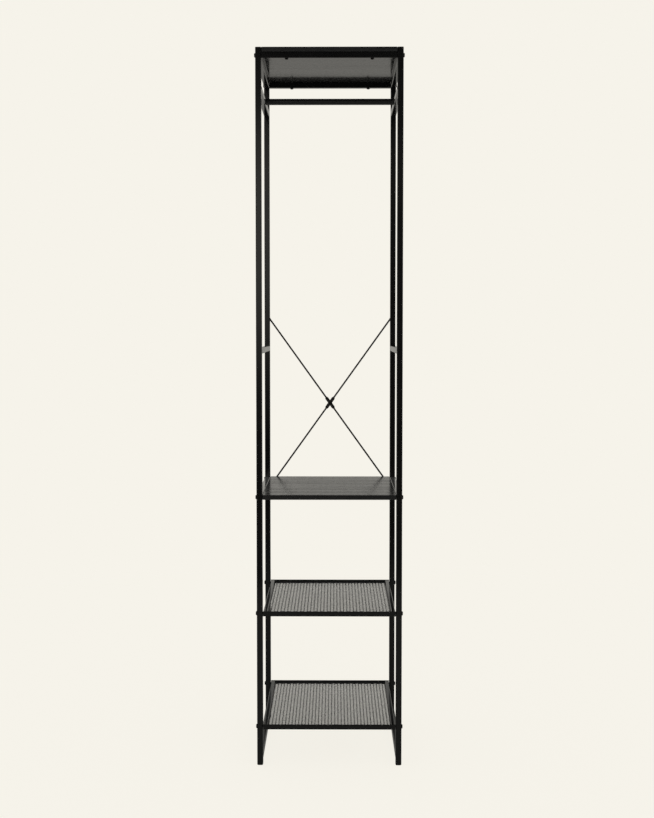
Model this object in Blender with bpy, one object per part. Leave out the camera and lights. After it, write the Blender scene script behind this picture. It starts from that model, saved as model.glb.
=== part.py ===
"""Coat stand: a slim frame of square steel tube that carries two mesh shoe shelves,
a shelf board, a hanging rail and a top board, stiffened at the back by a crossed brace.

Metres, +Z up. The front is at -Y, left is -X. The origin is on the floor, under the middle
of the whole stand, brace included.
"""

import math

import bmesh
import bpy
from mathutils import Vector

MM = 0.001

# Overall size of the frame, over the tubes
WIDTH = 370 * MM
DEPTH = 400 * MM
HEIGHT = 1820 * MM

# Square tube that the whole frame is cut from
TUBE = 15 * MM
TUBE_WALL = 1.2 * MM
TUBE_CORNER = 1.6 * MM

# Clearances
GAP = 0.3 * MM  # between two pieces that touch
SLIDE = 0.3 * MM  # around a spigot or a plug in its tube
PLAY = 0.4 * MM  # around a screw or rivet in its hole
SHELF_GAP = 0.5 * MM  # between a shelf and the posts beside it

# Heights above the floor, and from other pieces
FLOOR_BAR_BOTTOM = 14 * MM
SHELF_TOPS = {"lower": 107 * MM, "upper": 400 * MM}
SHELF_BOARD_DROP = 212 * MM  # top of the shelf board below the joint of the posts
MIDDLE_BAR_RISE = 153.5 * MM  # centre of the middle side bars above that joint
RAIL_DROP = 100 * MM  # axis of the hanging rail below the top of the stand

# Boards
BOARD_THICKNESS = 12 * MM
BOARD_EDGE = 0.8 * MM  # eased edges

# Hanging rail
RAIL_DIAMETER = 16 * MM
RAIL_WALL = 1.2 * MM
END_PLATE = 4 * MM  # threaded plate that closes a tube's end

# Plugs at the ends of the posts
FOOT_HEIGHT = 5 * MM
FOOT_ROUNDING = 3 * MM
CAP_FLANGE = 1.5 * MM
PLUG_LENGTH = 12 * MM
SPIGOT_LENGTH = 40 * MM

# Pressed mesh shelf
SHELF_RIM = 13 * MM
SHEET = 1.2 * MM
MESH_DEPTH = 7.5 * MM  # mesh below the top of the rim
SIDE_CHANNEL = 12 * MM  # width of the folded channel along each side
FOLD = 1.2 * MM
MESH_ACROSS = 56 * MM  # diamond from left to right, before it is fitted to the floor
MESH_ALONG = 25 * MM  # diamond from front to back, likewise
STRAND = 5 * MM
WELD_NUT = 8 * MM
WELD_NUT_DEPTH = 4 * MM

# Crossed brace of round rod behind the rear posts
ROD = 4 * MM
ROD_FLAT = 1.6 * MM  # thickness where the rod is pressed flat
BRACE_RISE = 495 * MM  # height from the lower to the upper ends
BRACE_DROP = 1.5 * MM  # crossing of the rods below the joint of the posts
EYE_RADIUS = 5.5 * MM
EYE_NECK = 9 * MM
CROSSING_LENGTH = 34 * MM
CROSSING_WIDTH = 7.5 * MM
FLAT_TAPER = 5 * MM
RIVET = 4 * MM
RIVET_HEAD = 8 * MM
RIVET_HEAD_HEIGHT = 1.2 * MM

# Screws: diameter of head, height of head, diameter of shank, length of shank, width of socket
FRAME_SCREW = (11 * MM, 2.6 * MM, 4.8 * MM, 25 * MM, 4 * MM)
BOARD_SCREW = (9 * MM, 2.6 * MM, 3.8 * MM, 24 * MM, 3 * MM)
BRACE_SCREW = (8 * MM, 2.2 * MM, 3.8 * MM, 10 * MM, 3 * MM)
BOARD_SCREW_SPACING = 214 * MM
SOCKET_DEPTH = 1.3 * MM
HEAD_RIM = 1 * MM  # straight part of a screw head's side
TIP_SPACE = 1 * MM  # free length beyond a screw's tip in a blind hole

ROUND = 8  # sides of screws, rivets and rods
RAIL_SIDES = 16

# Places worked out from the sizes above
JOINT_LEVEL = HEIGHT / 2  # the posts are cut into equal halves
SHELF_BOARD_TOP = JOINT_LEVEL - SHELF_BOARD_DROP
MIDDLE_BAR_LEVEL = JOINT_LEVEL + MIDDLE_BAR_RISE
RAIL_LEVEL = HEIGHT - RAIL_DROP
EYE_PLANE = GAP + ROD_FLAT / 2
ROD_PLANE = GAP + ROD / 2
CROSSING_STEP = (ROD_FLAT + GAP) / 2
RIVET_GRIP = 2 * ROD_FLAT + 3 * GAP
REAR_STICKOUT = ROD_PLANE + RIVET_GRIP / 2 + RIVET_HEAD_HEIGHT
FRONT_Y = -(DEPTH + REAR_STICKOUT) / 2
BACK_Y = FRONT_Y + DEPTH
MIDDLE_Y = (FRONT_Y + BACK_Y) / 2
POST_X = (WIDTH - TUBE) / 2
INNER_X = WIDTH / 2 - TUBE
POST_Y = {"front": FRONT_Y + TUBE / 2, "rear": BACK_Y - TUBE / 2}
SIDES = {"left": -1, "right": 1}
TOP_BOARD_BOTTOM = HEIGHT - BOARD_THICKNESS
TOP_TUBE_LEVEL = TOP_BOARD_BOTTOM - GAP - TUBE / 2
SHELF_BOARD_LEVEL = SHELF_BOARD_TOP - BOARD_THICKNESS / 2
SHELF_LEVELS = {name: top - SHELF_RIM / 2 for name, top in SHELF_TOPS.items()}
BRACE_LEVEL = JOINT_LEVEL - BRACE_DROP
BRACE_ENDS = {"lower": BRACE_LEVEL - BRACE_RISE / 2, "upper": BRACE_LEVEL + BRACE_RISE / 2}
PLUG = TUBE - 2 * TUBE_WALL - 2 * SLIDE
SPIGOT_BORE = PLUG - 2 * TUBE_WALL


def clear_scene():
    for item in list(bpy.data.objects):
        bpy.data.objects.remove(item, do_unlink=True)


def finish(name, colour, roughness, metallic):
    surface = bpy.data.materials.new(name)
    surface.use_nodes = True
    shader = surface.node_tree.nodes["Principled BSDF"]
    shader.inputs["Base Color"].default_value = (*colour, 1)
    shader.inputs["Roughness"].default_value = roughness
    shader.inputs["Metallic"].default_value = metallic
    surface.diffuse_color = (*colour, 1)
    return surface


# Cross-sections


def square_ring(side, level, corner=TUBE_CORNER):
    """Eight points round a square with cut corners, at one height."""
    return box_ring(side, side, corner, level)


def box_ring(width, depth, corner, level, offset=0.0):
    """Eight points round a rectangle with cut corners."""
    half_x = width / 2
    half_y = depth / 2
    corner = min(corner, 0.8 * half_x, 0.8 * half_y)
    return four_corners([(half_x, half_y - corner), (half_x - corner, half_y)], level, offset)


def four_corners(quarter, level, offset=0.0):
    """An outline whose four corners all mirror the points of one."""
    points = []
    for sign_x, sign_y in ((1, 1), (-1, 1), (-1, -1), (1, -1)):
        turn = quarter if sign_x * sign_y > 0 else quarter[::-1]
        points += [Vector((sign_x * x, sign_y * y + offset, level)) for x, y in turn]
    return points


def round_ring(radius, level, sides=ROUND):
    """Points round a circle, whose flats touch it and face along X and Y."""
    angles = [(k + 0.5) * 2 * math.pi / sides for k in range(sides)]
    reach = radius / math.cos(math.pi / sides)
    return [Vector((reach * math.cos(a), reach * math.sin(a), level)) for a in angles]


def skin(rings, closed=False):
    """A closed mesh through rings of equal count: capped at both ends, or joined end to end."""
    shape = bmesh.new()
    loops = [[shape.verts.new(point) for point in ring] for ring in rings]
    pairs = list(zip(loops, loops[1:]))
    if closed:
        pairs.append((loops[-1], loops[0]))
    count = len(rings[0])
    for low, high in pairs:
        for k in range(count):
            after = (k + 1) % count
            shape.faces.new((low[k], low[after], high[after], high[k]))
    if not closed:
        shape.faces.new(loops[0][::-1])
        shape.faces.new(loops[-1])
    bmesh.ops.recalc_face_normals(shape, faces=shape.faces)
    return shape


def mesh_of(name, shape):
    mesh = bpy.data.meshes.new(name)
    shape.to_mesh(mesh)
    shape.free()
    return mesh


def place(name, mesh, surface, location=(0, 0, 0), rotation=(0, 0, 0)):
    """One piece of the stand, in its place, with soft shading on round faces."""
    piece = bpy.data.objects.new(name, mesh)
    bpy.context.scene.collection.objects.link(piece)
    piece.location = location
    piece.rotation_euler = rotation
    mesh.materials.clear()
    mesh.materials.append(surface)
    mesh.shade_smooth()
    mesh.set_sharp_from_angle(angle=math.radians(50))
    return piece


def boolean(piece, shape, operation):
    """Cuts a shape out of a piece, or joins it on, in the piece's own axes."""
    tool = bpy.data.objects.new(piece.name + "_tool", mesh_of(piece.name + "_tool", shape))
    bpy.context.scene.collection.objects.link(tool)
    tool.display_type = "WIRE"
    tool.hide_render = True
    tool.matrix_world = piece.matrix_basis
    step = piece.modifiers.new(operation.title(), "BOOLEAN")
    step.operation = operation
    step.solver = "EXACT"
    step.object = tool
    graph = bpy.context.evaluated_depsgraph_get()
    result = bpy.data.meshes.new_from_object(piece.evaluated_get(graph))
    piece.modifiers.clear()
    piece.data = result
    bpy.data.objects.remove(tool, do_unlink=True)
    result.shade_smooth()
    result.set_sharp_from_angle(angle=math.radians(50))


def rods(axis, radius, spans):
    """Separate round cutters along one axis: each span is (centre in the other axes, low, high)."""
    shape = bmesh.new()
    for centre, low, high in spans:
        loops = [[shape.verts.new(aim(axis, point, centre)) for point in round_ring(radius, level)]
                 for level in (low, high)]
        for k in range(ROUND):
            after = (k + 1) % ROUND
            shape.faces.new((loops[0][k], loops[0][after], loops[1][after], loops[1][k]))
        shape.faces.new(loops[0][::-1])
        shape.faces.new(loops[1])
    bmesh.ops.recalc_face_normals(shape, faces=shape.faces)
    return shape


def aim(axis, point, centre):
    """Turns a point of an upright circle onto an axis. Centre gives the two other coordinates."""
    first, second = centre
    if axis == "X":
        return Vector((point.z, point.x + first, point.y + second))
    if axis == "Y":
        return Vector((point.x + first, point.z, point.y + second))
    return Vector((point.x + first, point.y + second, point.z))


def block(low, high):
    """A plain box between two corners."""
    width = high[0] - low[0]
    depth = high[1] - low[1]
    shape = bmesh.new()
    bmesh.ops.create_cube(shape, size=1)
    bmesh.ops.scale(shape, vec=(width, depth, high[2] - low[2]), verts=shape.verts)
    bmesh.ops.translate(shape, vec=(Vector(low) + Vector(high)) / 2, verts=shape.verts)
    return shape


# Frame tubes


def open_tube(length):
    """A straight tube along Z, open at both ends and centred on its middle."""
    half = length / 2
    bore = TUBE - 2 * TUBE_WALL
    rings = [square_ring(TUBE, -half), square_ring(TUBE, half),
             square_ring(bore, half, TUBE_CORNER / 2), square_ring(bore, -half, TUBE_CORNER / 2)]
    return skin(rings, closed=True)


def lower_post_shape():
    """A tube whose top is drawn in to a spigot that slides into the upper post."""
    bottom = FOOT_HEIGHT + GAP
    shoulder = JOINT_LEVEL - GAP / 2
    top = JOINT_LEVEL + SPIGOT_LENGTH
    neck = shoulder - 2 * TUBE_WALL
    bore = TUBE - 2 * TUBE_WALL
    inner = TUBE_CORNER / 2
    rings = [square_ring(TUBE, bottom), square_ring(TUBE, shoulder),
             square_ring(PLUG, shoulder, inner), square_ring(PLUG, top, inner),
             square_ring(SPIGOT_BORE, top, inner), square_ring(SPIGOT_BORE, neck, inner),
             square_ring(bore, neck - TUBE_WALL, inner), square_ring(bore, bottom, inner)]
    return skin(rings, closed=True)


def drill_post(post, depth, levels, brace_level):
    """Screw holes from side to side, and one in the wall of a rear post for a brace end."""
    radius = FRAME_SCREW[2] / 2 + PLAY
    spans = [((0, level - post.location.z), -TUBE, TUBE) for level in levels]
    boolean(post, rods("X", radius, spans), "DIFFERENCE")
    if depth == "rear":
        radius = BRACE_SCREW[2] / 2 + PLAY
        spans = [((0, brace_level - post.location.z), 0, TUBE)]
        boolean(post, rods("Y", radius, spans), "DIFFERENCE")


def build_posts(steel):
    lower_levels = [*SHELF_LEVELS.values(), SHELF_BOARD_LEVEL]
    bottom = JOINT_LEVEL + GAP / 2
    top = HEIGHT - CAP_FLANGE - GAP
    for side, sign in SIDES.items():
        for depth, y in POST_Y.items():
            name = f"{side}_{depth}_lower_post"
            post = place(name, mesh_of(name, lower_post_shape()), steel, (sign * POST_X, y, 0))
            drill_post(post, depth, lower_levels, BRACE_ENDS["lower"])
            name = f"{side}_{depth}_upper_post"
            middle = (sign * POST_X, y, (bottom + top) / 2)
            post = place(name, mesh_of(name, open_tube(top - bottom)), steel, middle)
            drill_post(post, depth, [TOP_TUBE_LEVEL], BRACE_ENDS["upper"])


def build_side_bars(steel):
    """Bars from front to back that turn each pair of posts into a side frame."""
    length = DEPTH - 2 * TUBE - 2 * GAP
    levels = {"floor_bar": FLOOR_BAR_BOTTOM + TUBE / 2, "middle_bar": MIDDLE_BAR_LEVEL,
              "rail_bar": RAIL_LEVEL, "top_bar": TOP_TUBE_LEVEL}
    along_y = (math.pi / 2, 0, 0)
    for side, sign in SIDES.items():
        for kind, level in levels.items():
            name = f"{side}_{kind}"
            mesh = mesh_of(name, open_tube(length))
            bar = place(name, mesh, steel, (sign * POST_X, MIDDLE_Y, level), along_y)
            if kind == "rail_bar":
                radius = FRAME_SCREW[2] / 2 + PLAY
                boolean(bar, rods("X", radius, [((0, 0), -TUBE, TUBE)]), "DIFFERENCE")


def closed_tube(length, outer, cavity, hole):
    """Rings of a tube along Z whose ends are closed by plates with a threaded hole."""
    half = length / 2
    inside = half - END_PLATE
    return skin([outer(-half), outer(half), hole(half), hole(inside),
                 cavity(inside), cavity(-inside), hole(-inside), hole(-half)], closed=True)


def build_top_tubes(steel):
    length = 2 * (INNER_X - GAP)
    bore = TUBE - 2 * TUBE_WALL
    hole = FRAME_SCREW[2] / 2 + PLAY
    along_x = (0, math.pi / 2, 0)
    for depth, y in POST_Y.items():
        shape = closed_tube(length, lambda z: square_ring(TUBE, z),
                            lambda z: square_ring(bore, z, TUBE_CORNER / 2),
                            lambda z: round_ring(hole, z))
        name = f"top_{depth}_tube"
        tube = place(name, mesh_of(name, shape), steel, (0, y, TOP_TUBE_LEVEL), along_x)
        radius = BOARD_SCREW[2] / 2 + PLAY
        spans = [((0, x), -TUBE, TUBE) for x in board_screw_places()]
        boolean(tube, rods("X", radius, spans), "DIFFERENCE")


def board_screw_places():
    return (-BOARD_SCREW_SPACING / 2, BOARD_SCREW_SPACING / 2)


def build_rail(steel):
    length = 2 * (INNER_X - GAP)
    hole = FRAME_SCREW[2] / 2 + PLAY
    outer = RAIL_DIAMETER / 2
    shape = closed_tube(length, lambda z: round_ring(outer, z, RAIL_SIDES),
                        lambda z: round_ring(outer - RAIL_WALL, z, RAIL_SIDES),
                        lambda z: round_ring(hole, z, RAIL_SIDES))
    place("hanging_rail", mesh_of("hanging_rail", shape), steel,
          (0, MIDDLE_Y, RAIL_LEVEL), (0, math.pi / 2, 0))


# Boards


def shelf_board_ring(inset, level):
    """Outline of the shelf board, which lies between the posts."""
    return box_ring(2 * (INNER_X - GAP - inset), DEPTH - 2 * inset, BOARD_EDGE, level)


def top_board_ring(inset, level):
    """Outline of the top board, which covers the side bars and is cut out round each post."""
    side = WIDTH / 2 - inset
    end = DEPTH / 2 - inset
    notch_x = INNER_X - GAP - inset
    notch_y = DEPTH / 2 - TUBE - GAP - inset
    quarter = [(side, notch_y - BOARD_EDGE), (side - BOARD_EDGE, notch_y), (notch_x, notch_y),
               (notch_x, end - BOARD_EDGE), (notch_x - BOARD_EDGE, end)]
    return four_corners(quarter, level)


def board_shape(ring):
    """A board whose edges are eased above and below."""
    half = BOARD_THICKNESS / 2
    return skin([ring(BOARD_EDGE, -half), ring(0, BOARD_EDGE - half),
                 ring(0, half - BOARD_EDGE), ring(BOARD_EDGE, half)])


def build_boards(timber):
    level = TOP_BOARD_BOTTOM + BOARD_THICKNESS / 2
    mesh = mesh_of("top_board", board_shape(top_board_ring))
    board = place("top_board", mesh, timber, (0, MIDDLE_Y, level))
    reach = BOARD_SCREW[3] - TUBE - 2 * GAP + TIP_SPACE - BOARD_THICKNESS / 2
    radius = BOARD_SCREW[2] / 2 + PLAY
    spans = [((x, y - MIDDLE_Y), -BOARD_THICKNESS, reach)
             for x in board_screw_places() for y in POST_Y.values()]
    boolean(board, rods("Z", radius, spans), "DIFFERENCE")

    mesh = mesh_of("shelf_board", board_shape(shelf_board_ring))
    board = place("shelf_board", mesh, timber, (0, MIDDLE_Y, SHELF_BOARD_LEVEL))
    tip = WIDTH / 2 + GAP - FRAME_SCREW[3] - TIP_SPACE
    radius = FRAME_SCREW[2] / 2 + PLAY
    spans = [((y - MIDDLE_Y, 0), *sorted((sign * tip, sign * WIDTH / 2)))
             for y in POST_Y.values() for sign in SIDES.values()]
    boolean(board, rods("X", radius, spans), "DIFFERENCE")


# Mesh shelves


def shelf_profile():
    """The folded sheet seen from the front: a low mesh floor between two upturned channels."""
    edge = INNER_X - SHELF_GAP
    inner = edge - SIDE_CHANNEL
    base = -SHELF_RIM
    floor = -MESH_DEPTH
    outside = [(edge, base), (edge, -FOLD), (edge - FOLD, 0), (inner + FOLD, 0),
               (inner, -FOLD), (inner, floor)]
    inside = [(inner + SHEET, floor - SHEET), (inner + SHEET, -SHEET),
              (edge - SHEET, -SHEET), (edge - SHEET, base)]
    upper = outside + [(-x, z) for x, z in reversed(outside)]
    lower = [(-x, z) for x, z in reversed(inside)] + inside
    return upper + lower


def shelf_shape():
    shape = bmesh.new()
    low = FRONT_Y + SHEET / 2 - MIDDLE_Y
    high = -low
    front = [shape.verts.new((x, low, z)) for x, z in shelf_profile()]
    face = shape.faces.new(front)
    grown = bmesh.ops.extrude_face_region(shape, geom=[face])
    moved = [item for item in grown["geom"] if isinstance(item, bmesh.types.BMVert)]
    bmesh.ops.translate(shape, vec=(0, high - low, 0), verts=moved)
    bmesh.ops.recalc_face_normals(shape, faces=shape.faces)
    return shape


def fitted_diamonds(length, wanted):
    """Half the diamond that fills a length evenly, and how many half steps it takes."""
    steps = round(2 * length / wanted)
    return length / steps, steps


def diamond_cutters():
    """One upright prism for each opening of the staggered diamond mesh."""
    floor_x = INNER_X - SHELF_GAP - SIDE_CHANNEL
    floor_y = DEPTH / 2 - SHEET
    half_x, steps_x = fitted_diamonds(2 * floor_x, MESH_ACROSS)
    half_y, steps_y = fitted_diamonds(2 * floor_y, MESH_ALONG)
    inner_radius = half_x * half_y / math.hypot(half_x, half_y)
    across = half_x * (1 - STRAND / 2 / inner_radius)
    along = half_y * (1 - STRAND / 2 / inner_radius)
    low = -MESH_DEPTH - 2 * SHEET
    high = -MESH_DEPTH + SHEET
    shape = bmesh.new()
    for column in range(1, steps_x):
        for row in range(1, steps_y):
            if (column + row) % 2:
                continue
            x = column * half_x - floor_x
            y = row * half_y - floor_y
            outline = ((x + across, y), (x, y + along), (x - across, y), (x, y - along))
            bottom = [shape.verts.new((*point, low)) for point in outline]
            top = [shape.verts.new((*point, high)) for point in outline]
            shape.faces.new(bottom[::-1])
            shape.faces.new(top)
            for k in range(4):
                after = (k + 1) % 4
                shape.faces.new((bottom[k], bottom[after], top[after], top[k]))
    return shape


def build_shelves(steel):
    edge = INNER_X - SHELF_GAP
    for kind, top in SHELF_TOPS.items():
        name = f"{kind}_mesh_shelf"
        shelf = place(name, mesh_of(name, shelf_shape()), steel, (0, MIDDLE_Y, top))
        for y in (-DEPTH / 2, DEPTH / 2 - SHEET):
            boolean(shelf, block((-edge, y, -SHELF_RIM), (edge, y + SHEET, 0)), "UNION")
        for y in POST_Y.values():
            for sign in SIDES.values():
                near = sign * (edge - SHEET / 2)
                far = sign * (edge - SHEET - WELD_NUT_DEPTH)
                low = (min(near, far), y - MIDDLE_Y - WELD_NUT / 2, -(SHELF_RIM + WELD_NUT) / 2)
                high = (max(near, far), y - MIDDLE_Y + WELD_NUT / 2, -(SHELF_RIM - WELD_NUT) / 2)
                boolean(shelf, block(low, high), "UNION")
        radius = FRAME_SCREW[2] / 2 + PLAY
        reach = edge - SHEET - WELD_NUT_DEPTH - TIP_SPACE
        spans = [((y - MIDDLE_Y, -SHELF_RIM / 2), *sorted((sign * reach, sign * INNER_X)))
                 for y in POST_Y.values() for sign in SIDES.values()]
        boolean(shelf, rods("X", radius, spans), "DIFFERENCE")
        boolean(shelf, diamond_cutters(), "DIFFERENCE")


# Plugs


def build_plugs(plastic):
    """Rounded feet under the posts and flat caps on top of them."""
    inner = TUBE_CORNER / 2
    foot = [square_ring(TUBE - 2 * FOOT_ROUNDING * (1 - math.sin(turn)),
                        FOOT_ROUNDING * (1 - math.cos(turn)))
            for turn in (0, math.pi / 4, math.pi / 2)]
    foot += [square_ring(TUBE, FOOT_HEIGHT), square_ring(PLUG, FOOT_HEIGHT, inner),
             square_ring(PLUG - 2 * SLIDE, FOOT_HEIGHT + PLUG_LENGTH, inner)]
    cap = [square_ring(PLUG - 2 * SLIDE, -PLUG_LENGTH, inner), square_ring(PLUG, 0, inner),
           square_ring(TUBE, 0), square_ring(TUBE, CAP_FLANGE / 2),
           square_ring(TUBE - CAP_FLANGE, CAP_FLANGE)]
    foot_mesh = mesh_of("foot", skin(foot))
    cap_mesh = mesh_of("cap", skin(cap))
    for side, sign in SIDES.items():
        for depth, y in POST_Y.items():
            place(f"{side}_{depth}_foot", foot_mesh, plastic, (sign * POST_X, y, 0))
            level = HEIGHT - CAP_FLANGE
            place(f"{side}_{depth}_cap", cap_mesh, plastic, (sign * POST_X, y, level))


# Crossed brace


def brace_section(along, width, thickness, plane):
    """The rod's cross-section: flat where it is wide, round where width equals thickness."""
    cut = min(width, thickness) / 2 * (2 - math.sqrt(2))
    return box_ring(width, thickness, cut, along, plane)


def brace_shape(crossing_plane):
    """A rod pressed flat into an eye at each end and into a strap where it crosses the other."""
    reach = math.hypot(POST_X, BRACE_RISE / 2)
    flat_end = CROSSING_LENGTH / 2
    half = [(0.0, CROSSING_WIDTH, ROD_FLAT, crossing_plane),
            (flat_end, CROSSING_WIDTH, ROD_FLAT, crossing_plane),
            (flat_end + FLAT_TAPER, ROD, ROD, ROD_PLANE),
            (reach - EYE_NECK - FLAT_TAPER, ROD, ROD, ROD_PLANE),
            (reach - EYE_NECK, EYE_RADIUS, ROD_FLAT, EYE_PLANE)]
    for degrees in (60, 90, 125, 160):
        turn = math.radians(degrees)
        along = reach - EYE_RADIUS * math.cos(turn)
        half.append((along, 2 * EYE_RADIUS * math.sin(turn), ROD_FLAT, EYE_PLANE))
    whole = [(-s, *rest) for s, *rest in reversed(half[1:])] + half
    return skin([brace_section(*station) for station in whole])


def build_brace(steel):
    reach = math.hypot(POST_X, BRACE_RISE / 2)
    slant = math.atan2(POST_X, BRACE_RISE / 2)
    behind = ROD_PLANE + CROSSING_STEP
    before = ROD_PLANE - CROSSING_STEP
    for name, sign, plane in (("brace_rod_rising_right", 1, before),
                              ("brace_rod_rising_left", -1, behind)):
        rod = place(name, mesh_of(name, brace_shape(plane)), steel,
                    (0, BACK_Y, BRACE_LEVEL), (0, sign * slant, 0))
        eye = BRACE_SCREW[2] / 2 + PLAY
        spans = [((0, along), -ROD, 2 * ROD) for along in (-reach, reach)]
        boolean(rod, rods("Y", eye, spans), "DIFFERENCE")
        boolean(rod, rods("Y", RIVET / 2 + PLAY, [((0, 0), -ROD, 2 * ROD)]), "DIFFERENCE")
    grip = RIVET_GRIP / 2
    top = grip + RIVET_HEAD_HEIGHT
    rings = [round_ring(RIVET_HEAD / 2 - RIVET_HEAD_HEIGHT / 2, -top),
             round_ring(RIVET_HEAD / 2, -grip), round_ring(RIVET / 2, -grip),
             round_ring(RIVET / 2, grip), round_ring(RIVET_HEAD / 2, grip),
             round_ring(RIVET_HEAD / 2 - RIVET_HEAD_HEIGHT / 2, top)]
    place("brace_rivet", mesh_of("brace_rivet", skin(rings)), steel,
          (0, BACK_Y + ROD_PLANE, BRACE_LEVEL), (math.pi / 2, 0, 0))


# Screws


def screw_mesh(name, size):
    """A button-head screw: shank along +Z, underside of the head at the origin."""
    head, head_height, shank, length, socket = size
    rings = [round_ring(socket / 2, SOCKET_DEPTH - head_height),
             round_ring(socket / 2, -head_height), round_ring(head / 2, -HEAD_RIM),
             round_ring(head / 2, 0), round_ring(shank / 2, 0), round_ring(shank / 2, length)]
    return mesh_of(name, skin(rings))


def build_screws(steel):
    frame_screw = screw_mesh("frame_screw", FRAME_SCREW)
    rows = {"top_tube": TOP_TUBE_LEVEL, "shelf_board": SHELF_BOARD_LEVEL,
            "upper_shelf": SHELF_LEVELS["upper"], "lower_shelf": SHELF_LEVELS["lower"]}
    for side, sign in SIDES.items():
        inward = (0, -sign * math.pi / 2, 0)
        seat = sign * (WIDTH / 2 + GAP)
        for depth, y in POST_Y.items():
            for row, level in rows.items():
                name = f"{row}_screw_{side}_{depth}"
                place(name, frame_screw, steel, (seat, y, level), inward)
        place(f"rail_screw_{side}", frame_screw, steel, (seat, MIDDLE_Y, RAIL_LEVEL), inward)

    brace_screw = screw_mesh("brace_screw", BRACE_SCREW)
    seat = BACK_Y + EYE_PLANE + ROD_FLAT / 2 + GAP
    for side, sign in SIDES.items():
        for end, level in BRACE_ENDS.items():
            place(f"brace_screw_{side}_{end}", brace_screw, steel,
                  (sign * POST_X, seat, level), (math.pi / 2, 0, 0))

    board_screw = screw_mesh("board_screw", BOARD_SCREW)
    seat = TOP_TUBE_LEVEL - TUBE / 2 - GAP
    for side, x in zip(SIDES, board_screw_places()):
        for depth, y in POST_Y.items():
            place(f"board_screw_{side}_{depth}", board_screw, steel, (x, y, seat))


def build_coat_stand():
    clear_scene()
    coated_steel = finish("black_coated_steel", (0.012, 0.012, 0.013), 0.42, 0.0)
    black_board = finish("black_grained_board", (0.015, 0.015, 0.016), 0.35, 0.0)
    black_plastic = finish("black_plastic", (0.01, 0.01, 0.01), 0.5, 0.0)
    black_screw = finish("black_screw_steel", (0.02, 0.02, 0.02), 0.35, 0.8)
    build_posts(coated_steel)
    build_side_bars(coated_steel)
    build_top_tubes(coated_steel)
    build_rail(coated_steel)
    build_boards(black_board)
    build_shelves(coated_steel)
    build_plugs(black_plastic)
    build_brace(coated_steel)
    build_screws(black_screw)


build_coat_stand()
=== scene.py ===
# %% [markdown]
# # A slim coat stand of black square tube
#
# The solids of this stand come from its own imported model, in metres, with the floor at zero, the
# open front towards -Y and the left side at -X. They stay exactly where they are. This lesson
# gives them their finishes, builds the pieces that need finer shapes than the solids have (the
# mesh of the shoe shelves, the crossed rods and the screws), adds a pair of side bars that the
# solids lack, and sets up a plain pale studio.

# %% Load the solids
import math

import bmesh
import bpy
from mathutils import Matrix, Vector


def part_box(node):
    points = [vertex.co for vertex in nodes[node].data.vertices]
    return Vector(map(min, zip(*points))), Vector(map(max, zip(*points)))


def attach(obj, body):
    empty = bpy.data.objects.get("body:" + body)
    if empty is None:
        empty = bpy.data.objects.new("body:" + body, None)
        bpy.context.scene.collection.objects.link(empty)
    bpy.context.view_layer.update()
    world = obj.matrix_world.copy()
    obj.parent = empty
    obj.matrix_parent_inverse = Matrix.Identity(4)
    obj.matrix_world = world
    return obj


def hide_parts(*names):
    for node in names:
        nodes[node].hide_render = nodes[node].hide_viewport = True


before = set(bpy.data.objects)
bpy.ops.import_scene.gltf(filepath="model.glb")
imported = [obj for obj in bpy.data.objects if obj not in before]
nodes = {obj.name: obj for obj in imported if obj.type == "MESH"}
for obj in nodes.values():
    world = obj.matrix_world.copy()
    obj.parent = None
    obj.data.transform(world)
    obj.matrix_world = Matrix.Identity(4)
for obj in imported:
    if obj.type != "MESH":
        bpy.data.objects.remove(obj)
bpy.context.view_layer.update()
MM = 0.001

# %% [markdown]
# ## Sums on surfaces
#
# A finish is never one flat colour: its gloss and tone drift a little from place to place. Each
# drift is a sum of patterns, and in Blender each step of such a sum is a Math node. Wrapping a
# socket in a small class lets us write the sum as we would on paper, and the class adds the nodes.


# %% A value that varies over a surface
class Value:
    """A number that varies over a surface. A sum written with it adds Math nodes."""

    def __init__(self, tree, socket):
        self.tree = tree
        self.socket = socket

    def step(self, operation, first, second):
        node = self.tree.node("ShaderNodeMath", {"operation": operation}, {0: first, 1: second})
        return Value(self.tree, node.outputs[0])

    def __add__(self, other):
        return self.step("ADD", self, other)

    def __sub__(self, other):
        return self.step("SUBTRACT", self, other)

    def __rsub__(self, other):
        return self.step("SUBTRACT", other, self)

    def __mul__(self, other):
        return self.step("MULTIPLY", self, other)

    def at_most(self, other):
        return self.step("MINIMUM", self, other)

    def at_least(self, other):
        return self.step("MAXIMUM", self, other)

    __radd__ = __add__
    __rmul__ = __mul__


# %% [markdown]
# ## A tree of nodes
#
# Materials, the world and the floor are all trees of nodes. One method makes any node: it takes
# the node's type, then its settings, and then what goes into its sockets, which is a plain value
# or a link. Three short methods use it for what is wanted in several trees: the parts of a vector,
# a ramp, and a mix of two colours.


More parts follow.
